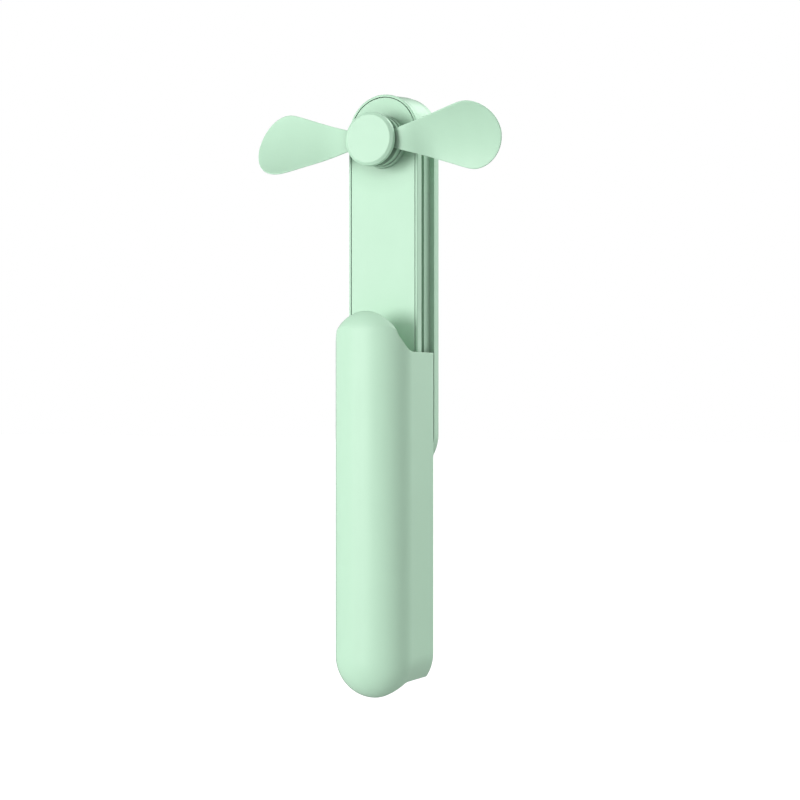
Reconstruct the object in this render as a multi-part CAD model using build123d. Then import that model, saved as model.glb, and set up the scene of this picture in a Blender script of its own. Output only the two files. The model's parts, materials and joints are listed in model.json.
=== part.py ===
from build123d import *
import math
import os

# Pocket fan with a sliding front cover.  Millimetres, +Z up, the front faces -Y.
# The origin is the middle of the flat back face.  At rest the cover is slid down
# and both blades stand out sideways, ready to run.

# ---------------------------------------------------------------- driving sizes
BODY_WIDTH = 34.6            # across the rear shell
BODY_LENGTH = 162.1          # over both round ends
BODY_DEPTH = 19.0            # back face to front plate
COVER_TRAVEL = 92.7          # cover open to cover closed
ROTOR_DIAMETER = 113.6       # over the two open blades

# clearances and small values
FIT = 0.1                    # between parts that lie or slide against each other
TOUCH = 0.02                 # between parts that are pushed together
OVER = 1.0                   # how far a cutting tool stands past the material

# body
REAR_R = BODY_WIDTH / 2
STRAIGHT = BODY_LENGTH - BODY_WIDTH      # distance between the two end centres
END_Z = STRAIGHT / 2
FRAME_R = 16.4               # front frame, just inside the cover
PLATE_R = 15.1               # inset front plate
PLATE_GROOVE = 0.25          # visible line around the plate
PLATE_THICK = 1.5
DECK_THICK = 1.2             # floor of the frame under the plate
FRAME_SIDE = 3.7             # height of the frame's side strip
RIM_DEPTH = 5.0              # full-width rim at the back of the rear shell
RIM_FILLET = 1.0
CHANNEL_R = 15.0             # floor of the side channel between frame and rim
END_GAP = 0.15               # between the closed cover's side walls and the body's ends
WALL = 1.4
BACK_WALL = 1.6
SKIRT_R = 12.1               # locating skirt under the frame
SKIRT_WALL = 0.8
SKIRT_DEPTH = 1.2
CORE_R = 12.7                # hollow under the frame's floor
FRAME_FILLET = 0.6
PLATE_Y = -BODY_DEPTH
FRAME_BACK_Y = PLATE_Y + FRAME_SIDE
DECK_Y = PLATE_Y + PLATE_THICK
DECK_BACK_Y = DECK_Y + DECK_THICK

# guide groove on each side, right behind the front frame
SLOT_BACK_Y = -10.1
SLOT_FLOOR_X = 13.4
SLOT_WALL = 1.2
SLOT_TOP_Z = 62.8
SLOT_BOTTOM_Z = -61.5

# sliding cover
COVER_R = 17.3
COVER_WALL = 0.8
COVER_INNER_R = COVER_R - COVER_WALL
COVER_FRONT_Y = -39.0
COVER_REAR_Y = -5.8
CROWN_WIDTH = 15.6           # how far the crowned front curves in from each side
CROWN_DEPTH = 13.0
CROWN_THIN = 0.6             # the roundings are this much narrower inside the cover
TOP_EDGE_WIDTH = 9.0         # the round top end has a soft edge, this wide seen from the front
TOP_EDGE_DEPTH = 9.0
TOP_STRETCH = 1.07           # the top end is a little taller than a half circle
SIDE_TOP_Z = END_Z - COVER_TRAVEL        # top of the side walls, cover open
SIDE_BOTTOM_Z = SIDE_TOP_Z - STRAIGHT    # centre of the cover's round bottom end
CUT_FRONT_Y = -34.9          # the front wall above the top cut ends here
CUT_BACK_Y = -22.0           # the side walls are level from here to the back
CUT_HEIGHT = 17.4            # rise of the top cut
SIDE_CUT = 10.2              # side walls end this far below the bottom end's centre
DROP_FRONT_Y = -28.5         # the front wall below the bottom cut starts here
DROP_BACK_Y = -23.0
DROP_LOW = 16.0              # fall of the bottom cut
CLEAR_OF_COVER = 60.0        # the cutting faces reach past the cover

# runner shoes between body and cover, and the ribs that hold them
SHOE_LENGTH = 30.0
SHOE_TOP_DROP = 2.0          # below the top of the side walls
RIB_GAP = 0.15
RIB_THICK = 1.0
RIB_TOP_DROP = 1.0
FLANGE_FRONT_Y = FRAME_BACK_Y + RIB_GAP + RIB_THICK + FIT
FLANGE_BACK_Y = -9.0

# rotor
HUB_Z = 59.9
CAP_FRONT_Y = -32.2
CAP_BACK_Y = -29.4
DISC_FRONT_Y = -25.0
DISC_BACK_Y = -21.5
DISC_STEP = 1.2              # the disc is smaller over this depth, at its back
DISC_STEP_IN = 0.35
COLLAR_FRONT_Y = -21.3
CAP_R = 11.2
CAP_FACE_R = 10.0
CAP_BEVEL = 1.0
CAP_FILLET = 0.3
DISC_R = 10.7
COLLAR_R = 11.1
COLLAR_BEVEL = 0.35
SPACER_R = 9.8               # wall between disc and cap, above the blade eyes
SPACER_LOW = 5.2             # above the axis
BOSS_WALL = 1.1              # around the shaft
PIN_X = 5.5
PIN_R = 1.0
PIN_HOLE_FRONT = 1.4         # depth of the pin's hole in the cap
PIN_HOLE_BACK = 2.2          # depth of the pin's hole in the disc
SHAFT_R = 1.0
SHAFT_HOLE_CLEAR = 0.6
RUNNING_CLEAR = 0.05

# blades
TIP_R = ROTOR_DIAMETER / 2
LOBE_R = 13.3                # round outer end of the blade, seen from the front
LOBE_CENTRE = TIP_R - LOBE_R
LOBE_ANGLES = (0, 20, 38, 54, 68, 78, 84)
ROOT_HALF = 4.0              # half width of the blade where it leaves the hub
ROOT_START = 10.0
ROOT_PITCH = 8.0
BLADE_PITCH = 23.0
TWIST_START = 12.5
TWIST_END = 26.0             # the pitch is reached this far out
CUP_R = 41.0                 # radius of the blade's hollow front face, across the blade
CUP_SET = 2.6                # the hollow's middle lies this far behind the root
BLADE_STACK = 0.82           # each blade steps this far off the slot's middle
BLADE_LIFT = 0.4             # towards the edge that leans forward
BLADE_THICK = 1.1
EDGE_THICK = 0.7
ROOT_EXTRA = 0.25            # added to half the thickness at the root
EYE_R = 3.2
BLADE_MID_Y = (CAP_BACK_Y + DISC_FRONT_Y) / 2

# motor
MOTOR_R = 6.0
MOTOR_WALL = 0.6
MOTOR_FRONT_Y = DECK_BACK_Y
MOTOR_LENGTH = 12.0
MOTOR_BACK_Y = MOTOR_FRONT_Y + MOTOR_LENGTH
NOSE_R = 2.6
NOSE_LENGTH = 1.0
BUSH_R = 2.0
ARMATURE_R = 3.7
ARMATURE_FRONT_Y = MOTOR_FRONT_Y + 2.5
ARMATURE_LENGTH = 6.5
POLES = 3
POLE_SLOT_FLOOR = 2.3
POLE_SLOT_HALF = 0.45
MAGNET_IN_R = 4.1
MAGNET_FRONT_Y = MOTOR_FRONT_Y + 2.2
MAGNET_LENGTH = 7.2
MAGNET_GAP_HALF = 1.0

# battery
CELL_R = 7.1
CELL_LENGTH = 50.0
CELL_CAP_R = 2.6
CELL_CAP = 1.0
CELL_Y = -9.0
CELL_TOP_Z = -4.0
PAD_HALF = 4.0
PAD_LENGTH = 36.0
PAD_DROP = 6.0               # below the top of the cell

# control board and what stands on it
BOARD_HALF = 9.0
BOARD_TOP_Z = 42.0
BOARD_BOTTOM_Z = 4.0
BOARD_THICK = 1.0
BOARD_CORNER = 1.0
BOARD_Y = -7.2               # back face of the board, towards the button
BOARD_FRONT_Y = BOARD_Y - BOARD_THICK
CHIP_HALF = 2.5
CHIP_THICK = 1.2
CHIP_Z = 15.0
RESISTOR = (1.6, 0.6, 0.8)   # width, thickness, height
RESISTOR_X = -4.2
RESISTOR_ZS = (9.0, 6.8, 4.6)
COIL = (3.4, 2.0, 3.4)
COIL_X = 4.9
COIL_Z = 7.7
BUTTON_Z = 24.0
BUTTON_R = 5.0
BUTTON_SINK = 0.2
BUTTON_GAP = 0.08
BUTTON_FILLET = 0.3
BUTTON_DISH_R = 30.0
BUTTON_DISH_DEPTH = 0.25
BUTTON_STEM_R = 1.4
FLANGE_EXTRA = 0.7           # the button's flange behind the back wall
SWITCH_HALF = 3.0
SWITCH_THICK = 2.2
SWITCH_FLOOR = 0.8
PLUNGER_R = 1.5
PLUNGER_LOW = 1.4            # above the board
PLUNGER_HIGH = 2.9
LED_Z = 34.0
LED_HALF = 0.8
LED_THICK = 0.7
PIPE_R = 1.0

# charging
USB_WIDTH = 8.94
USB_HEIGHT = 3.16
USB_LENGTH = 7.0
USB_WALL = 0.3
USB_Y = -9.0
USB_INSET = 1.2              # the socket's mouth inside the bottom end
USB_HOLE_GAP = 0.15
USB_HOLE_DEPTH = 6.0
TONGUE_HALF = 3.3
TONGUE_THICK = 0.7
TONGUE_INSET = 0.8
CHARGE_BOARD_Y = USB_Y + USB_HEIGHT / 2
CHARGE_BOARD_THICK = 0.8
CHARGE_BOARD_HALF = 7.0
CHARGE_BOARD_Z = -75.0       # lower edge of the charging board
CHARGE_BOARD_LENGTH = 12.0

# wires
LEAD_R = 0.4
LEAD_BEND = 1.5
LEAD_Y = -2.6                # the wires run along the back wall
PAD_OFF = LEAD_R + 0.05      # a wire's centre above the board it is soldered to
MOTOR_LEAD_X = 3.0
BATTERY_LEAD_X = 5.2

# case screws
SCREW_X = 9.2
SCREW_ZS = (44.0, 1.0, -57.5)
SCREW_R = 0.85
SCREW_HEAD_R = 1.7
SCREW_HEAD = 0.5
SCREW_LENGTH = 6.0
SOCKET_R = 0.6
SOCKET_DEPTH = 0.35
BOSS_R = 1.9


# ---------------------------------------------------------------- small helpers
def stadium(radius, front, back):
    """Round-ended bar as long as the body: radius at each end, from y = front to y = back."""
    face = Plane.XZ.offset(-back) * SlotCenterToCenter(STRAIGHT, 2 * radius, rotation=90)
    return extrude(face, amount=back - front)


def rod(radius, front, back, x=0.0, z=HUB_Z):
    """Cylinder along Y at (x, z), on the rotor's axis if nothing else is said."""
    face = Plane.XZ.offset(-back) * Pos(x, z) * Circle(radius)
    return extrude(face, amount=back - front)


def block(x0, x1, y0, y1, z0, z1):
    """Box between two corners."""
    centre = ((x0 + x1) / 2, (y0 + y1) / 2, (z0 + z1) / 2)
    return Pos(*centre) * Box(abs(x1 - x0), abs(y1 - y0), abs(z1 - z0))


def chip_block(size, x, z):
    """Box of size (width, thickness, height) on the front face of the control board."""
    width, thick, height = size
    return block(
        x - width / 2, x + width / 2, BOARD_FRONT_Y - thick, BOARD_FRONT_Y, z - height / 2, z + height / 2
    )


def edges_at_y(solid, y):
    """All edges that lie in the plane y."""
    return solid.edges().filter_by_position(Axis.Y, y - 0.001, y + 0.001)


def both_sides(solid):
    """The solid and its mirror image across the middle plane."""
    return [solid, mirror(solid, Plane.YZ)]


def wire_tube(*points):
    """Round wire through the given points."""
    path = FilletPolyline(*points, radius=LEAD_BEND)
    start = Plane(origin=path @ 0, z_dir=path % 0)
    return sweep(start * Circle(LEAD_R), path=path)


# ---------------------------------------------------------------- casing
def tapered_end(centre_z, low, high):
    """Solid body end that widens from the front frame to the rim, between two heights."""
    wide = Plane.XZ.offset(RIM_DEPTH) * Circle(REAR_R)
    narrow = Plane.XZ.offset(-FRAME_BACK_Y) * Circle(FRAME_R)
    cone = Pos(0, 0, centre_z) * loft([wide, narrow])
    return cone & block(-REAR_R, REAR_R, PLATE_Y, 0, low, high)


def make_rear_shell():
    """Deep tray with a full-width rim, side channels and the guide grooves."""
    rim = stadium(REAR_R, -RIM_DEPTH, 0)
    rim = fillet(edges_at_y(rim, 0), RIM_FILLET)
    shell = rim + stadium(CHANNEL_R, FRAME_BACK_Y, -RIM_DEPTH)
    shell += tapered_end(END_Z, END_Z + END_GAP, END_Z + REAR_R + OVER)
    shell += tapered_end(-END_Z, -END_Z - REAR_R - OVER, -END_Z - SIDE_CUT - END_GAP)
    shell -= stadium(CHANNEL_R - WALL, FRAME_BACK_Y, -BACK_WALL)
    for side in (-1, 1):
        wall_in = side * (SLOT_FLOOR_X - SLOT_WALL)
        wall_out = side * (CHANNEL_R - WALL / 2)
        wall_back = SLOT_BACK_Y + SLOT_WALL
        shell += block(
            wall_in, wall_out, FRAME_BACK_Y, wall_back, SLOT_BOTTOM_Z - SLOT_WALL, SLOT_TOP_Z + SLOT_WALL
        )
        slot_in = side * SLOT_FLOOR_X
        slot_out = side * (CHANNEL_R + FIT)
        shell -= block(slot_in, slot_out, FRAME_BACK_Y - OVER, SLOT_BACK_Y, SLOT_BOTTOM_Z, SLOT_TOP_Z)
    for x in (-SCREW_X, SCREW_X):
        for z in SCREW_ZS:
            shell += rod(BOSS_R, DECK_BACK_Y, -BACK_WALL + FIT, x, z)
            shell -= rod(SCREW_R, DECK_BACK_Y - OVER, DECK_BACK_Y + SCREW_LENGTH, x, z)
    shell -= rod(BUTTON_R + BUTTON_GAP, -BACK_WALL - OVER, OVER, 0, BUTTON_Z)
    shell -= rod(PIPE_R + RUNNING_CLEAR, -BACK_WALL - OVER, OVER, 0, LED_Z)
    port = SlotOverall(USB_WIDTH + 2 * USB_HOLE_GAP, USB_HEIGHT + 2 * USB_HOLE_GAP)
    port = Plane.XY.offset(-BODY_LENGTH / 2 - OVER) * Pos(0, USB_Y) * port
    shell -= extrude(port, amount=USB_HOLE_DEPTH)
    return shell


def make_front_frame():
    """Rim and floor that close the tray; the front plate lies in its pocket."""
    frame = stadium(FRAME_R, PLATE_Y, FRAME_BACK_Y)
    frame = fillet(edges_at_y(frame, PLATE_Y), FRAME_FILLET)
    frame -= stadium(PLATE_R + PLATE_GROOVE, PLATE_Y - OVER, DECK_Y)
    frame -= stadium(CORE_R, DECK_BACK_Y, FRAME_BACK_Y)
    skirt_back = FRAME_BACK_Y + SKIRT_DEPTH
    skirt = stadium(SKIRT_R, DECK_BACK_Y, skirt_back)
    frame += skirt - stadium(SKIRT_R - SKIRT_WALL, DECK_BACK_Y - OVER, skirt_back + OVER)
    frame -= rod(NOSE_R + 2 * OVER, DECK_Y - OVER, DECK_BACK_Y + OVER)
    for x in (-SCREW_X, SCREW_X):
        for z in SCREW_ZS:
            frame -= rod(SCREW_R + FIT, DECK_Y - OVER, DECK_BACK_Y + OVER, x, z)
            frame -= rod(SCREW_HEAD_R + FIT, DECK_Y - OVER, DECK_Y + SCREW_HEAD, x, z)
    return frame


def make_front_plate():
    """Flat decor plate, glued over the screws."""
    plate = stadium(PLATE_R, PLATE_Y, DECK_Y)
    plate = fillet(edges_at_y(plate, PLATE_Y), PLATE_GROOVE)
    return plate - rod(SHAFT_R + SHAFT_HOLE_CLEAR, PLATE_Y - OVER, DECK_Y + OVER)


def make_case_screws():
    """Six self-tapping screws under the front plate."""
    screws = []
    head_back = DECK_Y + SCREW_HEAD
    for x in (-SCREW_X, SCREW_X):
        for z in SCREW_ZS:
            head = rod(SCREW_HEAD_R, DECK_Y + RUNNING_CLEAR, head_back, x, z)
            shank = rod(SCREW_R - TOUCH, head_back, DECK_BACK_Y + SCREW_LENGTH - SCREW_HEAD, x, z)
            socket = rod(SOCKET_R, DECK_Y - OVER, DECK_Y + SOCKET_DEPTH, x, z)
            screws.append(head + shank - socket)
    return Compound(screws)


# ---------------------------------------------------------------- sliding cover
def cover_half_section(radius, front, crown_width, crown_depth, rear):
    """Half of the cover's cross-section: flat side, then an elliptical crown."""
    corner_x = radius - crown_width
    corner_y = front + crown_depth
    outline = [
        Line((0, front), (0, rear)),
        Line((0, rear), (radius, rear)),
        Line((radius, rear), (radius, corner_y)),
        EllipticalCenterArc((corner_x, corner_y), crown_width, crown_depth, 270, arc_size=90),
        Line((corner_x, front), (0, front)),
    ]
    return make_face(Curve() + outline)


def cover_form(radius, front, crown, top_edge, rear):
    """Crowned bar: straight middle, domed bottom end, round top end with a soft edge.

    crown and top_edge are (width, depth) of the two roundings.
    """
    half = cover_half_section(radius, front, *crown, rear)
    whole = half + mirror(half, Plane.YZ)
    middle = Pos(0, 0, SIDE_BOTTOM_Z) * extrude(whole, amount=STRAIGHT, dir=(0, 0, 1))
    disc = revolve(cover_half_section(radius, front, *top_edge, rear), Axis.Y, 360)
    upper = extrude(whole, amount=radius, dir=(0, 0, 1)) & disc
    reach = CLEAR_OF_COVER
    lower = revolve(half, Axis.Y, 360) & block(-reach, reach, -reach, reach, -reach, 0)
    top = Pos(0, 0, SIDE_TOP_Z) * scale(upper, (1, 1, TOP_STRETCH))
    bottom = Pos(0, 0, SIDE_BOTTOM_Z) * lower
    return middle + top + bottom


def side_cut(origin_z, curve, height):
    """Cutting solid across the whole cover: what lies behind the curve, up or down to height."""
    start, end = curve @ 0, curve @ 1
    reach = CLEAR_OF_COVER
    rest = Polyline((end.X, end.Y), (end.X, height), (reach, height), (reach, start.Y), (start.X, start.Y))
    face = make_face(Curve() + [curve, rest])
    return extrude(Plane.YZ.offset(-reach) * Pos(0, origin_z) * face, amount=2 * reach)


def make_sliding_cover():
    """Crowned front cover, open at the back, with swept cuts at both ends."""
    form = cover_form(
        COVER_R,
        COVER_FRONT_Y,
        (CROWN_WIDTH, CROWN_DEPTH),
        (TOP_EDGE_WIDTH, TOP_EDGE_DEPTH),
        COVER_REAR_Y,
    )
    hollow = cover_form(
        COVER_INNER_R,
        COVER_FRONT_Y + COVER_WALL,
        (CROWN_WIDTH - CROWN_THIN, CROWN_DEPTH - COVER_WALL),
        (TOP_EDGE_WIDTH - CROWN_THIN, TOP_EDGE_DEPTH - COVER_WALL),
        COVER_REAR_Y + OVER,
    )
    cover = form - hollow

    # top: the side walls stop level, and the front wall stands higher in a long S
    sweep_up = Spline(
        (CUT_BACK_Y, 0),
        (-28.9, 1.3),
        (-31.5, 4.3),
        (-33.6, 8.0),
        (-34.5, 12.0),
        (CUT_FRONT_Y, CUT_HEIGHT),
        tangents=[(-1, 0), (0, 1)],
    )
    cover -= side_cut(SIDE_TOP_Z, sweep_up, CLEAR_OF_COVER)

    # bottom: the side walls stop short of the front wall
    sweep_down = Spline(
        (DROP_BACK_Y, -SIDE_CUT),
        (-26.7, -12.2),
        (DROP_FRONT_Y, -DROP_LOW),
        tangents=[(-1, 0), (0, -1)],
    )
    cover -= side_cut(SIDE_BOTTOM_Z, sweep_down, -CLEAR_OF_COVER)

    # two ribs on each side wall: the front one hooks behind the body's frame,
    # and the runner shoe's flange runs between them
    for side in (-1, 1):
        inner = side * (CHANNEL_R + RIB_GAP)
        outer = side * (COVER_INNER_R + FIT)
        for rib_y in (FRAME_BACK_Y + RIB_GAP, FLANGE_BACK_Y + FIT):
            cover += block(
                inner, outer, rib_y, rib_y + RIB_THICK, SIDE_BOTTOM_Z, SIDE_TOP_Z - RIB_TOP_DROP
            )
    return cover


def make_cover_runners():
    """Two low-friction shoes: a foot in the body's groove, a flange in the cover."""
    top = SIDE_TOP_Z - SHOE_TOP_DROP
    low = top - SHOE_LENGTH
    neck_x = CHANNEL_R + FIT / 2
    foot = block(SLOT_FLOOR_X + FIT, neck_x, FRAME_BACK_Y + FIT, SLOT_BACK_Y - FIT, low, top)
    flange = block(neck_x, COVER_INNER_R - FIT, FLANGE_FRONT_Y, FLANGE_BACK_Y, low, top)
    return Compound(both_sides(foot + flange))


# ---------------------------------------------------------------- rotor
def make_hub_cap():
    """Front disc of the rotor with a bevelled rim."""
    cap = rod(CAP_R, CAP_FRONT_Y, CAP_BACK_Y)
    cap = chamfer(edges_at_y(cap, CAP_FRONT_Y), CAP_BEVEL, CAP_R - CAP_FACE_R)
    cap = fillet(edges_at_y(cap, CAP_FRONT_Y), CAP_FILLET)
    for x in (-PIN_X, PIN_X):
        cap -= rod(PIN_R, CAP_BACK_Y - PIN_HOLE_FRONT, CAP_BACK_Y + OVER, x)
    return cap


def make_rotor_base():
    """Rear disc, centre boss and the spacer wall above the blade eyes."""
    base = rod(DISC_R - DISC_STEP_IN, DISC_FRONT_Y, DISC_BACK_Y)
    base += rod(DISC_R, DISC_FRONT_Y, DISC_BACK_Y - DISC_STEP)
    base += rod(SHAFT_R + BOSS_WALL, CAP_BACK_Y, DISC_FRONT_Y)
    spacer = rod(SPACER_R, CAP_BACK_Y, DISC_FRONT_Y)
    above = HUB_Z + SPACER_LOW
    base += spacer & block(-CAP_R, CAP_R, CAP_BACK_Y, DISC_FRONT_Y, above, HUB_Z + CAP_R)
    base -= rod(SHAFT_R, CAP_BACK_Y + OVER, DISC_BACK_Y + OVER)
    for x in (-PIN_X, PIN_X):
        base -= rod(PIN_R, DISC_FRONT_Y - OVER, DISC_FRONT_Y + PIN_HOLE_BACK, x)
    return base


def make_blade_pins():
    """Two steel pins that the blades fold on."""
    front = CAP_BACK_Y - PIN_HOLE_FRONT + FIT
    back = DISC_FRONT_Y + PIN_HOLE_BACK - FIT
    return Compound([rod(PIN_R, front, back, x) for x in (-PIN_X, PIN_X)])


def half_chord(r):
    """Half width of the blade seen from the front: straight sides, then a round lobe."""
    run = LOBE_CENTRE - ROOT_START
    reach = math.hypot(run, ROOT_HALF)
    angle = math.asin(LOBE_R / reach) - math.atan2(ROOT_HALF, run)
    tangent_r = LOBE_CENTRE - LOBE_R * math.sin(angle)
    if r <= tangent_r:
        return ROOT_HALF + (r - ROOT_START) * math.tan(angle)
    return math.sqrt(LOBE_R**2 - (r - LOBE_CENTRE) ** 2)


def blade_section(r, stack):
    """Hollow section at radius r of the blade that points along +X."""
    blend = min(max((r - TWIST_START) / (TWIST_END - TWIST_START), 0.0), 1.0)
    blend = blend * blend * (3 - 2 * blend)
    pitch = math.radians(ROOT_PITCH + (BLADE_PITCH - ROOT_PITCH) * blend)
    middle_y = BLADE_MID_Y + (stack + CUP_SET) * blend
    middle_z = HUB_Z + BLADE_LIFT * blend
    half = half_chord(r) / math.cos(pitch)
    sag = half**2 / (2 * CUP_R)
    core = BLADE_THICK / 2 + ROOT_EXTRA * (1 - blend)
    core = min(core, half * 0.6)
    edge = min(EDGE_THICK / 2, half * 0.4)
    flat = half - edge

    def point(along, across):
        """Along the chord towards +Z and the front, across it towards the back."""
        y = middle_y - along * math.sin(pitch) + across * math.cos(pitch)
        z = middle_z + along * math.cos(pitch) + across * math.sin(pitch)
        return (r, y, z)

    outline = [
        ThreePointArc(point(-flat, edge - sag), point(0, core), point(flat, edge - sag)),
        ThreePointArc(point(flat, edge - sag), point(half, -sag), point(flat, -edge - sag)),
        ThreePointArc(point(flat, -edge - sag), point(0, -core), point(-flat, -edge - sag)),
        ThreePointArc(point(-flat, -edge - sag), point(-half, -sag), point(-flat, edge - sag)),
    ]
    return make_face(Curve() + outline)


def make_blade(stack):
    """Folding blade that points along +X, with its eye on the right-hand pin."""
    arm = [PIN_X + PIN_R, ROOT_START, 15.5, 21.0, 28.0, 35.0]
    lobe = [LOBE_CENTRE + LOBE_R * math.sin(math.radians(angle)) for angle in LOBE_ANGLES]
    blade = loft([blade_section(r, stack) for r in arm + lobe])
    blade += rod(EYE_R, CAP_BACK_Y + FIT, DISC_FRONT_Y - FIT, PIN_X)
    return blade - rod(PIN_R + RUNNING_CLEAR, CAP_BACK_Y - OVER, DISC_FRONT_Y + OVER, PIN_X)


def make_blade_right():
    """Blade set towards the back of the slot."""
    return make_blade(BLADE_STACK)


def make_blade_left():
    """Blade set towards the front, turned half a turn about the rotor's axis."""
    return Pos(0, 0, HUB_Z) * Rot(0, 180, 0) * Pos(0, 0, -HUB_Z) * make_blade(-BLADE_STACK)


# ---------------------------------------------------------------- motor
def make_motor_collar():
    """Fixed ring around the shaft, between the front plate and the rotor."""
    collar = rod(COLLAR_R, COLLAR_FRONT_Y, PLATE_Y)
    collar = chamfer(edges_at_y(collar, COLLAR_FRONT_Y), COLLAR_BEVEL)
    return collar - rod(SHAFT_R + SHAFT_HOLE_CLEAR, COLLAR_FRONT_Y - OVER, PLATE_Y + OVER)


def make_motor_can():
    """Steel can, open at the back, with a nose that holds the front bush."""
    can = rod(MOTOR_R, MOTOR_FRONT_Y, MOTOR_BACK_Y)
    can += rod(NOSE_R, MOTOR_FRONT_Y - NOSE_LENGTH, MOTOR_FRONT_Y)
    can -= rod(MOTOR_R - MOTOR_WALL, MOTOR_FRONT_Y + MOTOR_WALL, MOTOR_BACK_Y + OVER)
    return can - rod(BUSH_R, MOTOR_FRONT_Y - NOSE_LENGTH - OVER, MOTOR_FRONT_Y + OVER)


def make_motor_bushes():
    """Sintered bushes at both ends of the shaft."""
    front_bush = rod(BUSH_R, MOTOR_FRONT_Y - NOSE_LENGTH, MOTOR_FRONT_Y + MOTOR_WALL)
    rear_bush = rod(BUSH_R, MOTOR_BACK_Y, MOTOR_BACK_Y + NOSE_LENGTH)
    bore = rod(SHAFT_R + RUNNING_CLEAR / 2, PLATE_Y, 0)
    return Compound([front_bush - bore, rear_bush - bore])


def make_motor_end_cap():
    """Plastic end bell with the rear bush seat."""
    cap = rod(MOTOR_R, MOTOR_BACK_Y, MOTOR_BACK_Y + NOSE_LENGTH)
    return cap - rod(BUSH_R, MOTOR_BACK_Y - OVER, MOTOR_BACK_Y + NOSE_LENGTH + OVER)


def make_motor_shaft():
    """Two-millimetre steel shaft, from the rear bush to the rotor."""
    return rod(SHAFT_R, CAP_BACK_Y + OVER + FIT, MOTOR_BACK_Y + NOSE_LENGTH * 0.8)


def make_motor_armature():
    """Three-pole armature pressed on the shaft."""
    back = ARMATURE_FRONT_Y + ARMATURE_LENGTH
    armature = rod(ARMATURE_R, ARMATURE_FRONT_Y, back)
    slot = block(
        POLE_SLOT_FLOOR, MOTOR_R, ARMATURE_FRONT_Y - OVER, back + OVER, -POLE_SLOT_HALF, POLE_SLOT_HALF
    )
    for pole in range(POLES):
        armature -= Pos(0, 0, HUB_Z) * Rot(0, 360 / POLES * pole + 90, 0) * slot
    return armature - rod(SHAFT_R, ARMATURE_FRONT_Y - OVER, back + OVER)


def make_motor_magnets():
    """Two arc magnets inside the can."""
    back = MAGNET_FRONT_Y + MAGNET_LENGTH
    ring = rod(MOTOR_R - MOTOR_WALL, MAGNET_FRONT_Y, back)
    ring -= rod(MAGNET_IN_R, MAGNET_FRONT_Y - OVER, back + OVER)
    gap = MAGNET_GAP_HALF
    ring -= block(-gap, gap, MAGNET_FRONT_Y - OVER, back + OVER, HUB_Z - MOTOR_R, HUB_Z + MOTOR_R)
    return Compound(ring.solids())


# ---------------------------------------------------------------- electrics
def make_battery_cell():
    """Cylindrical rechargeable cell with its raised cap at the top."""
    length = CELL_LENGTH - CELL_CAP
    can = Cylinder(CELL_R, length)
    can = fillet(can.edges(), 0.5)
    cap = Pos(0, 0, CELL_LENGTH / 2) * Cylinder(CELL_CAP_R, CELL_CAP)
    return Pos(0, CELL_Y, CELL_TOP_Z - CELL_CAP - length / 2) * (can + cap)


def make_battery_pad():
    """Foam pad between the cell and the back wall."""
    top = CELL_TOP_Z - PAD_DROP
    pad = block(-PAD_HALF, PAD_HALF, CELL_Y, -BACK_WALL, top - PAD_LENGTH, top)
    seat = Pos(0, CELL_Y, top - PAD_LENGTH / 2) * Cylinder(CELL_R + TOUCH, PAD_LENGTH + OVER)
    return pad - seat


def make_circuit_board():
    """Control board between the cell and the motor."""
    board = block(-BOARD_HALF, BOARD_HALF, BOARD_FRONT_Y, BOARD_Y, BOARD_BOTTOM_Z, BOARD_TOP_Z)
    return fillet(board.edges().filter_by(Axis.Y), BOARD_CORNER)


def make_controller_chip():
    """Motor and charge controller with its passive parts."""
    parts = [chip_block((2 * CHIP_HALF, CHIP_THICK, 6.0), 0, CHIP_Z)]
    parts += [chip_block(RESISTOR, RESISTOR_X, z) for z in RESISTOR_ZS]
    parts.append(chip_block(COIL, COIL_X, COIL_Z))
    return Compound(parts)


def make_tact_switch():
    """Switch housing on the board, under the button."""
    half = SWITCH_HALF
    housing = block(-half, half, BOARD_Y, BOARD_Y + SWITCH_THICK, BUTTON_Z - half, BUTTON_Z + half)
    return housing - rod(PLUNGER_R + RUNNING_CLEAR, BOARD_Y + SWITCH_FLOOR, 0, 0, BUTTON_Z)


def make_switch_plunger():
    """Short plunger that the button pushes into the switch."""
    return rod(PLUNGER_R, BOARD_Y + PLUNGER_LOW, BOARD_Y + PLUNGER_HIGH, 0, BUTTON_Z)


def make_power_button():
    """Round dished button in the back wall, with a flange inside and a short stem."""
    button = rod(BUTTON_R, -BACK_WALL, -BUTTON_SINK, 0, BUTTON_Z)
    button = fillet(edges_at_y(button, -BUTTON_SINK), BUTTON_FILLET)
    dish_y = -BUTTON_SINK - BUTTON_DISH_DEPTH + BUTTON_DISH_R
    button -= Pos(0, dish_y, BUTTON_Z) * Sphere(BUTTON_DISH_R)
    flange_back = -BACK_WALL - RUNNING_CLEAR
    button += rod(BUTTON_R + FLANGE_EXTRA, -BACK_WALL - FLANGE_EXTRA, flange_back, 0, BUTTON_Z)
    button += rod(BUTTON_R - FLANGE_EXTRA, -BACK_WALL - FIT, -BACK_WALL, 0, BUTTON_Z)
    return button + rod(BUTTON_STEM_R, BOARD_Y + PLUNGER_HIGH, -BACK_WALL - FIT, 0, BUTTON_Z)


def make_light_pipe():
    """Clear pipe that carries the charge light to the back face."""
    return rod(PIPE_R, BOARD_Y + LED_THICK + FIT, -FIT, 0, LED_Z)


def make_indicator_led():
    """Charge light on the board."""
    low, high = LED_Z - LED_HALF / 2, LED_Z + LED_HALF / 2
    return block(-LED_HALF, LED_HALF, BOARD_Y, BOARD_Y + LED_THICK, low, high)


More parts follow.
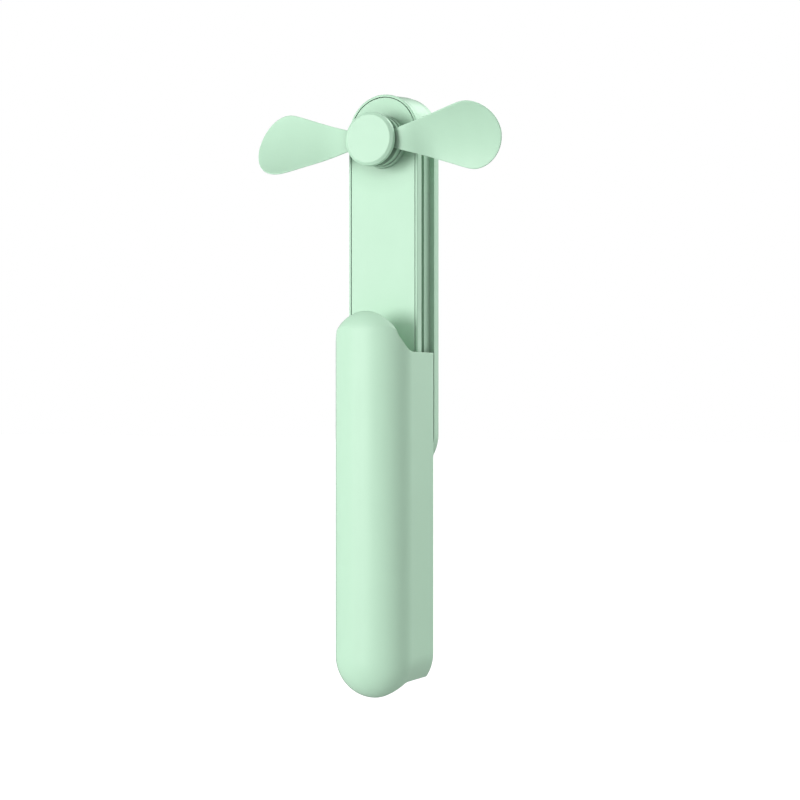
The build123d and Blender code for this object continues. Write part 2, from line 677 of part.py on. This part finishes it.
def make_usb_c_socket():
    """Charging socket at the bottom end."""
    bottom = -BODY_LENGTH / 2 + USB_INSET
    mouth = Plane.XY.offset(bottom) * Pos(0, USB_Y)
    outline = mouth * SlotOverall(USB_WIDTH, USB_HEIGHT)
    inside = mouth * SlotOverall(USB_WIDTH - 2 * USB_WALL, USB_HEIGHT - 2 * USB_WALL)
    socket = extrude(outline, amount=USB_LENGTH) - extrude(inside, amount=USB_LENGTH - OVER)
    half_thick = TONGUE_THICK / 2
    tongue_low, tongue_high = bottom + TONGUE_INSET, bottom + USB_LENGTH
    return socket + block(
        -TONGUE_HALF, TONGUE_HALF, USB_Y - half_thick, USB_Y + half_thick, tongue_low, tongue_high
    )


def make_charge_board():
    """Small board that carries the charging socket."""
    back = CHARGE_BOARD_Y + CHARGE_BOARD_THICK
    high = CHARGE_BOARD_Z + CHARGE_BOARD_LENGTH
    return block(-CHARGE_BOARD_HALF, CHARGE_BOARD_HALF, CHARGE_BOARD_Y, back, CHARGE_BOARD_Z, high)


def make_motor_leads():
    """Two wires from the board to the motor."""
    on_board = BOARD_Y + PAD_OFF
    wires = []
    for x in (-MOTOR_LEAD_X, MOTOR_LEAD_X):
        start = (x, on_board, BOARD_TOP_Z - 3.0)
        bend = (x, on_board, BOARD_TOP_Z + 3.0)
        rise = (x, LEAD_Y, HUB_Z - MOTOR_R - 3.0)
        end = (x, LEAD_Y, HUB_Z - 3.0)
        wires.append(wire_tube(start, bend, rise, end))
    return Compound(wires)


def make_battery_leads():
    """Wires from the charging board, past the cell, up to the control board."""
    on_charge_board = CHARGE_BOARD_Y + CHARGE_BOARD_THICK + PAD_OFF + RUNNING_CLEAR
    on_board = BOARD_Y + PAD_OFF
    wires = []
    for x in (-BATTERY_LEAD_X, BATTERY_LEAD_X):
        start = (x, on_charge_board, CHARGE_BOARD_Z + 9.0)
        low = (x, on_charge_board, CHARGE_BOARD_Z + 13.0)
        back_low = (x, LEAD_Y, CHARGE_BOARD_Z + 19.0)
        back_high = (x, LEAD_Y, BOARD_BOTTOM_Z - 5.0)
        high = (x, on_board, BOARD_BOTTOM_Z + 1.0)
        end = (x, on_board, BOARD_BOTTOM_Z + 5.0)
        wires.append(wire_tube(start, low, back_low, back_high, high, end))
    return Compound(wires)


NODES = {
    "rear_shell": make_rear_shell,
    "front_frame": make_front_frame,
    "front_plate": make_front_plate,
    "case_screws": make_case_screws,
    "sliding_cover": make_sliding_cover,
    "cover_runners": make_cover_runners,
    "hub_cap": make_hub_cap,
    "rotor_base": make_rotor_base,
    "blade_pins": make_blade_pins,
    "blade_right": make_blade_right,
    "blade_left": make_blade_left,
    "motor_collar": make_motor_collar,
    "motor_can": make_motor_can,
    "motor_bushes": make_motor_bushes,
    "motor_end_cap": make_motor_end_cap,
    "motor_shaft": make_motor_shaft,
    "motor_armature": make_motor_armature,
    "motor_magnets": make_motor_magnets,
    "battery_cell": make_battery_cell,
    "battery_pad": make_battery_pad,
    "circuit_board": make_circuit_board,
    "controller_chip": make_controller_chip,
    "tact_switch": make_tact_switch,
    "switch_plunger": make_switch_plunger,
    "power_button": make_power_button,
    "light_pipe": make_light_pipe,
    "indicator_led": make_indicator_led,
    "usb_c_socket": make_usb_c_socket,
    "charge_board": make_charge_board,
    "motor_leads": make_motor_leads,
    "battery_leads": make_battery_leads,
}

os.makedirs("parts", exist_ok=True)
for name, make in NODES.items():
    export_step(make(), f"parts/{name}.step")
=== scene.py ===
import json
import math

import bpy
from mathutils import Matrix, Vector


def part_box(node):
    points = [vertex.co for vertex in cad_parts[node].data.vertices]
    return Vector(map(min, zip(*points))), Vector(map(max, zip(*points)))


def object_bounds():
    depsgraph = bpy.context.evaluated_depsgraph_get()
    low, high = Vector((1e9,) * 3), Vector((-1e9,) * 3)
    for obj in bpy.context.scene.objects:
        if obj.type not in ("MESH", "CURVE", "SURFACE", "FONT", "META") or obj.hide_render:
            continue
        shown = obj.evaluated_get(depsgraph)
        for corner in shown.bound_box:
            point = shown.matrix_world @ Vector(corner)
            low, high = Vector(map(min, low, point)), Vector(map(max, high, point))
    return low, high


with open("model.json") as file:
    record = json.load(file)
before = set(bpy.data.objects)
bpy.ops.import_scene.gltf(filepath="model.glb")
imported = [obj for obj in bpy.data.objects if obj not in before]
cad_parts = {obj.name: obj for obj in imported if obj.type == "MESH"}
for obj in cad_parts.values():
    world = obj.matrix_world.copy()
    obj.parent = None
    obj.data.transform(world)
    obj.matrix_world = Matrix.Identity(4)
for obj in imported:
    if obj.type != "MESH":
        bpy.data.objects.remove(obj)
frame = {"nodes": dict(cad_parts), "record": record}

# Looks for the pocket fan: one procedural material per slot, a plain stage, soft studio
# light and the camera. All sizes are in metres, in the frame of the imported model.

cad_low, cad_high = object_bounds()

# ------------------------------------------------------------------ camera
CAMERA_AZIMUTH = math.radians(27.1)     # to the object's right of straight ahead
CAMERA_DISTANCE = 0.788                 # from the front plate's middle line
CAMERA_DRIFT = 0.00725                  # sideways, so that the fan sits left of the centre
CAMERA_DROP = 0.049                     # below the origin, level with the object's waist
CAMERA_LENS = 83.9                      # millimetres
CAMERA_SENSOR = 36.0                    # millimetres
CAMERA_CLIP = (0.01, 50.0)

# ------------------------------------------------------------------ floor, backdrop, lights
FLOOR_DROP = 0.13                       # floor below the lowest point of the fan
FLOOR_SIZE = 20.0
FLOOR_LEVEL = 0.45                      # grey of the floor as the light meets it
FLOOR_ROUGHNESS = 0.9
BAND_LIGHT = 1.20                       # level of the bright band around the horizon
BAND_EDGE = 0.72                        # height, as a sine, at which the band has faded
BAND_REST = 0.12                        # share of the band's level left above and below it
LIGHTS = {                              # direction towards it, distance, side length, watts
    "key": (Vector((-0.48, -0.87, 0.08)), 1.3, 0.55, 9.6),
    "rim": (Vector((0.30, 0.50, 0.80)), 0.9, 0.4, 6.0),
}

# ------------------------------------------------------------------ moulded plastic
MINT = (0.590, 0.880, 0.665)
FLOW_SIZE = 0.018                       # marks left by the flowing melt
FLOW_TINTS = (0.985, 1.012)
FLOW_DEPTH = 0.00010
SPECK_SIZE = 0.0011
SPECK_SHARE = 0.10
SPECK_TINT = 0.90
GLOSS_SIZE = 0.006                      # patches of uneven gloss
GRAIN_DEPTH = 0.000012
EDGE_ROUND = 0.00036                    # radius that sharp edges seem to have
# painted highlight: paler colour along sharp edges, where the rounded normal tilts away from the true
# one
EDGE_HIGHLIGHT_START, EDGE_HIGHLIGHT_FULL = 0.995, 0.90     # cosines of the tilt that the rounding gives an edge, where the painted edge highlight starts and is full
EDGE_HIGHLIGHT_SHARE = 0.7
EDGE_HIGHLIGHT_TINT = 1.20
# painted shade: darker colour in gaps and corners, from an ambient-occlusion mask
CREVICE_SHADE_REACH = 0.012
CREVICE_SHADE_TINT = 0.32
SILHOUETTE_SHADE_START = 0.74                    # turn away from the eye at which the painted silhouette shade begins
SILHOUETTE_SHADE_TINT = 0.35
PLASTIC_SPECULAR = 0.28
BEVEL_RAYS = 6
CREVICE_SHADE_RAYS = 8


# ------------------------------------------------------------------ node helpers
def grey(level):
    return (level, level, level, 1.0)


def tint(colour, factor):
    return tuple(min(1.0, c * factor) for c in colour)


class Nodes:
    """Adds and links the nodes of one tree."""

    def __init__(self, tree):
        self.tree = tree

    def add(self, kind, **values):
        node = self.tree.nodes.new(kind)
        for key, value in values.items():
            setattr(node, key, value)
        return node

    def link(self, source, target):
        self.tree.links.new(source, target)


class Shader(Nodes):
    """Builds one material around its Principled BSDF."""

    def __init__(self, name):
        self.material = bpy.data.materials.new(name)
        self.material.use_nodes = True
        super().__init__(self.material.node_tree)
        self.inputs = self.tree.nodes["Principled BSDF"].inputs
        self.place = self.add("ShaderNodeTexCoord").outputs["Object"]

    def noise(self, size, detail=3.0, roughness=0.5):
        """Noise whose features are about size metres across."""
        node = self.add("ShaderNodeTexNoise")
        node.inputs["Scale"].default_value = 1.0 / size
        node.inputs["Detail"].default_value = detail
        node.inputs["Roughness"].default_value = roughness
        self.link(self.place, node.inputs["Vector"])
        return node.outputs["Fac"]

    def spread(self, value, low, high, start=0.0, end=1.0):
        """Maps start..end to low..high."""
        node = self.add("ShaderNodeMapRange")
        node.inputs["From Min"].default_value = start
        node.inputs["From Max"].default_value = end
        node.inputs["To Min"].default_value = low
        node.inputs["To Max"].default_value = high
        self.link(value, node.inputs["Value"])
        return node.outputs["Result"]

    def mix(self, factor, first, second):
        """Mixes two colours, each a tuple or a socket, by a factor socket."""
        node = self.add("ShaderNodeMix", data_type="RGBA")
        for name, value in (("Factor", factor), ("A", first), ("B", second)):
            socket = [s for s in node.inputs if s.name == name and s.enabled][0]
            if isinstance(value, bpy.types.NodeSocket):
                self.link(value, socket)
            else:
                socket.default_value = (*value, 1.0)
        return [s for s in node.outputs if s.enabled][0]

    def mottle(self, factor, colour, low, high):
        """The colour, varied between two of its tints."""
        return self.mix(factor, tint(colour, low), tint(colour, high))

    def bump(self, height, depth, strength, normal=None):
        """Normal for a relief, laid over another normal if there is one."""
        node = self.add("ShaderNodeBump")
        node.inputs["Distance"].default_value = depth
        node.inputs["Strength"].default_value = strength
        self.link(height, node.inputs["Height"])
        if normal is not None:
            self.link(normal, node.inputs["Normal"])
        return node.outputs["Normal"]

    def rounded(self, radius):
        """Normal that rounds sharp edges over."""
        node = self.add("ShaderNodeBevel", samples=BEVEL_RAYS)
        node.inputs["Radius"].default_value = radius
        return node.outputs["Normal"]

    def edge_highlight(self, rounded):
        """Mask for a painted edge highlight: 0 on faces, rising to the highlight's full share where
        the rounded normal leaves the true one.
        """
        true = self.add("ShaderNodeNewGeometry").outputs["Normal"]
        match = self.add("ShaderNodeVectorMath", operation="DOT_PRODUCT")
        self.link(rounded, match.inputs[0])
        self.link(true, match.inputs[1])
        return self.spread(match.outputs["Value"], 0.0, EDGE_HIGHLIGHT_SHARE, EDGE_HIGHLIGHT_START, EDGE_HIGHLIGHT_FULL)

    def crevice_shade(self):
        """Mask for painted shade: 0 on open faces, 1 deep in gaps and corners."""
        node = self.add("ShaderNodeAmbientOcclusion", samples=CREVICE_SHADE_RAYS)
        node.inputs["Distance"].default_value = CREVICE_SHADE_REACH
        return self.spread(node.outputs["AO"], 1.0, 0.0)

    def outline(self):
        """Mask for painted shade at the silhouette: 0 where the surface faces the eye, rising to 1
        where it turns away along its contour.
        """
        node = self.add("ShaderNodeLayerWeight")
        node.inputs["Blend"].default_value = 0.5
        return self.spread(node.outputs["Facing"], 0.0, 1.0, start=SILHOUETTE_SHADE_START)

    def finish(self, colour, roughness, normal):
        """Joins the three main sockets to the surface and hands over the material."""
        self.link(colour, self.inputs["Base Color"])
        self.link(roughness, self.inputs["Roughness"])
        self.link(normal, self.inputs["Normal"])
        return self.material


# ------------------------------------------------------------------ materials
def moulded_plastic(name, colour, roughness=0.42, grain=0.00028):
    """Satin moulding: fine spark-eroded grain, faint flow marks, painted highlights along sharp edges,
    painted shade in gaps and corners and towards the silhouette.
    """
    s = Shader(name)
    flow = s.noise(FLOW_SIZE, detail=2.0)
    speck = s.noise(SPECK_SIZE, detail=4.0, roughness=0.6)
    rounded = s.rounded(EDGE_ROUND)

    base = s.mottle(flow, colour, *FLOW_TINTS)
    base = s.mix(s.spread(speck, 0.0, SPECK_SHARE), base, tint(colour, SPECK_TINT))
    # painted highlight: paler colour along sharp edges
    base = s.mix(s.edge_highlight(rounded), base, tint(colour, EDGE_HIGHLIGHT_TINT))
    # painted shade: darker colour in gaps and corners
    base = s.mix(s.crevice_shade(), base, tint(colour, CREVICE_SHADE_TINT))
    # painted shade: darker colour towards the silhouette, where the surface turns from the eye
    base = s.mix(s.outline(), base, tint(colour, SILHOUETTE_SHADE_TINT))

    gloss = s.spread(s.noise(GLOSS_SIZE), roughness - 0.04, roughness + 0.06)
    grained = s.bump(s.noise(grain, detail=2.0), GRAIN_DEPTH, 0.5, rounded)
    s.inputs["Specular IOR Level"].default_value = PLASTIC_SPECULAR
    return s.finish(base, gloss, s.bump(flow, FLOW_DEPTH, 0.15, grained))


def turned_metal(name, colour, roughness=0.3):
    """Ground or drawn metal with fine lines around it."""
    s = Shader(name)
    lines = s.add("ShaderNodeTexWave", wave_type="RINGS", rings_direction="Y")
    lines.inputs["Scale"].default_value = 900.0
    lines.inputs["Distortion"].default_value = 1.5
    s.link(s.place, lines.inputs["Vector"])
    stain = s.noise(0.003)
    base = s.mottle(stain, colour, 0.85, 1.08)
    gloss = s.spread(stain, roughness, roughness + 0.15)
    s.inputs["Metallic"].default_value = 1.0
    return s.finish(base, gloss, s.bump(lines.outputs["Fac"], 0.00001, 0.4))


def printed_board(name, colour):
    """Solder mask with faint copper tracks under it."""
    s = Shader(name)
    pattern = s.add("ShaderNodeTexBrick")
    pattern.inputs["Scale"].default_value = 260.0
    pattern.inputs["Mortar Size"].default_value = 0.03
    s.link(s.place, pattern.inputs["Vector"])
    tracks = pattern.outputs["Fac"]
    base = s.mottle(tracks, colour, 1.0, 1.7)
    gloss = s.spread(s.noise(0.002), 0.22, 0.36)
    return s.finish(base, gloss, s.bump(tracks, 0.00003, 0.5))


def plain_part(name, colour, roughness, cell, depth=0.00002, metallic=0.0):
    """Small hidden part: mottled colour, uneven gloss and a fine surface."""
    s = Shader(name)
    cells = s.noise(cell, detail=4.0)
    base = s.mottle(cells, colour, 0.85, 1.15)
    gloss = s.spread(s.noise(cell * 3), roughness - 0.08, roughness + 0.08)
    s.inputs["Metallic"].default_value = metallic
    return s.finish(base, gloss, s.bump(cells, depth, 0.5))


def clear_plastic(name, colour):
    """Frosted clear moulding."""
    s = Shader(name)
    base = s.mix(s.noise(0.001), colour, (0.95, 0.98, 0.96))
    gloss = s.spread(s.noise(0.0005), 0.18, 0.34)
    s.inputs["Transmission Weight"].default_value = 0.6
    return s.finish(base, gloss, s.bump(s.noise(0.0003), 0.00001, 0.5))


LOOKS = {
    "mint_shell": (moulded_plastic, dict(colour=MINT)),
    "mint_cover": (moulded_plastic, dict(colour=MINT)),
    "mint_blade": (moulded_plastic, dict(colour=MINT, roughness=0.38, grain=0.0004)),
    "acetal": (moulded_plastic, dict(colour=(0.78, 0.80, 0.77), roughness=0.36)),
    "steel": (turned_metal, dict(colour=(0.60, 0.61, 0.62))),
    "zinc_steel": (turned_metal, dict(colour=(0.68, 0.68, 0.66), roughness=0.38)),
    "bronze": (plain_part, dict(colour=(0.45, 0.28, 0.12), roughness=0.5, cell=0.0004, metallic=1.0)),
    "black_plastic": (plain_part, dict(colour=(0.03, 0.03, 0.032), roughness=0.5, cell=0.0006)),
    "magnet": (plain_part, dict(colour=(0.12, 0.12, 0.13), roughness=0.55, cell=0.0005, metallic=0.6)),
    "copper": (plain_part, dict(colour=(0.62, 0.25, 0.10), roughness=0.35, cell=0.0005, metallic=0.9)),
    "cell_wrap": (plain_part, dict(colour=(0.05, 0.16, 0.42), roughness=0.3, cell=0.004)),
    "foam": (plain_part, dict(colour=(0.04, 0.04, 0.04), roughness=0.9, cell=0.0006, depth=0.0002)),
    "board_green": (printed_board, dict(colour=(0.02, 0.13, 0.06))),
    "chip_black": (plain_part, dict(colour=(0.02, 0.02, 0.022), roughness=0.6, cell=0.0004)),
    "clear_pipe": (clear_plastic, dict(colour=(0.80, 0.90, 0.86))),
    "led_white": (plain_part, dict(colour=(0.85, 0.84, 0.74), roughness=0.3, cell=0.0005)),
    "wire_red": (plain_part, dict(colour=(0.42, 0.02, 0.02), roughness=0.45, cell=0.001)),
}


def dress_nodes():
    """Gives every CAD node the material of its slot."""
    materials = {slot: make(slot, **values) for slot, (make, values) in LOOKS.items()}
    for entry in frame["record"]["subparts"]:
        slots = frame["nodes"][entry["node"]].data.materials
        slots.clear()
        slots.append(materials[entry["material_slot"]])


# ------------------------------------------------------------------ stage and light
def make_floor():
    """Plain pale floor that the camera sees as white, like the backdrop."""
    bpy.ops.mesh.primitive_plane_add(size=FLOOR_SIZE, location=(0, 0, cad_low.z - FLOOR_DROP))
    floor = bpy.context.object
    floor.name = "floor"
    s = Shader("pale_floor")
    s.inputs["Base Color"].default_value = grey(FLOOR_LEVEL)
    s.inputs["Roughness"].default_value = FLOOR_ROUGHNESS
    s.inputs["Emission Color"].default_value = grey(1.0)
    s.link(s.add("ShaderNodeLightPath").outputs["Is Camera Ray"], s.inputs["Emission Strength"])
    floor.data.materials.append(s.material)


def make_world():
    """White backdrop for the camera; everything else is lit by a bright band at eye level."""
    world = bpy.data.worlds.new("studio")
    bpy.context.scene.world = world
    world.use_nodes = True
    world.node_tree.nodes.clear()
    n = Nodes(world.node_tree)

    axes = n.add("ShaderNodeSeparateXYZ")
    n.link(n.add("ShaderNodeTexCoord").outputs["Generated"], axes.inputs["Vector"])
    height = n.add("ShaderNodeMath", operation="ABSOLUTE")
    n.link(axes.outputs["Z"], height.inputs[0])
    band = n.add("ShaderNodeValToRGB")
    n.link(height.outputs["Value"], band.inputs["Fac"])
    horizon, faded = band.color_ramp.elements
    horizon.color = grey(1.0)
    faded.color = grey(BAND_REST)
    faded.position = BAND_EDGE

    dome = n.add("ShaderNodeBackground")
    dome.inputs["Strength"].default_value = BAND_LIGHT
    n.link(band.outputs["Color"], dome.inputs["Color"])
    backdrop = n.add("ShaderNodeBackground")
    backdrop.inputs["Color"].default_value = grey(1.0)
    choice = n.add("ShaderNodeMixShader")
    n.link(n.add("ShaderNodeLightPath").outputs["Is Camera Ray"], choice.inputs["Fac"])
    n.link(dome.outputs["Background"], choice.inputs[1])
    n.link(backdrop.outputs["Background"], choice.inputs[2])
    n.link(choice.outputs["Shader"], n.add("ShaderNodeOutputWorld").inputs["Surface"])


def make_lights():
    """Square soft lights that look at the fan's middle."""
    middle = (cad_low + cad_high) / 2
    for name, (direction, distance, side, power) in LIGHTS.items():
        data = bpy.data.lights.new(name, "AREA")
        data.size = side
        data.energy = power
        light = bpy.data.objects.new(name, data)
        light.location = middle + direction.normalized() * distance
        light.rotation_mode = "QUATERNION"
        light.rotation_quaternion = direction.to_track_quat("Z", "Y")
        bpy.context.scene.collection.objects.link(light)


def make_camera():
    """Level camera to the right of straight ahead, at the fan's waist."""
    plate_low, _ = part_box("front_plate")
    side, forward = math.sin(CAMERA_AZIMUTH), math.cos(CAMERA_AZIMUTH)
    data = bpy.data.cameras.new("camera")
    data.lens = CAMERA_LENS
    data.sensor_width = CAMERA_SENSOR
    data.clip_start, data.clip_end = CAMERA_CLIP
    camera = bpy.data.objects.new("camera", data)
    camera.location = (
        CAMERA_DISTANCE * side + CAMERA_DRIFT * forward,
        plate_low.y - CAMERA_DISTANCE * forward + CAMERA_DRIFT * side,
        -CAMERA_DROP,
    )
    camera.rotation_mode = "QUATERNION"
    camera.rotation_quaternion = Vector((side, -forward, 0)).to_track_quat("Z", "Y")
    bpy.context.scene.collection.objects.link(camera)
    bpy.context.scene.camera = camera


dress_nodes()
make_floor()
make_world()
make_lights()
make_camera()
bpy.context.scene.view_settings.view_transform = "Standard"
bpy.context.scene.view_settings.look = "None"
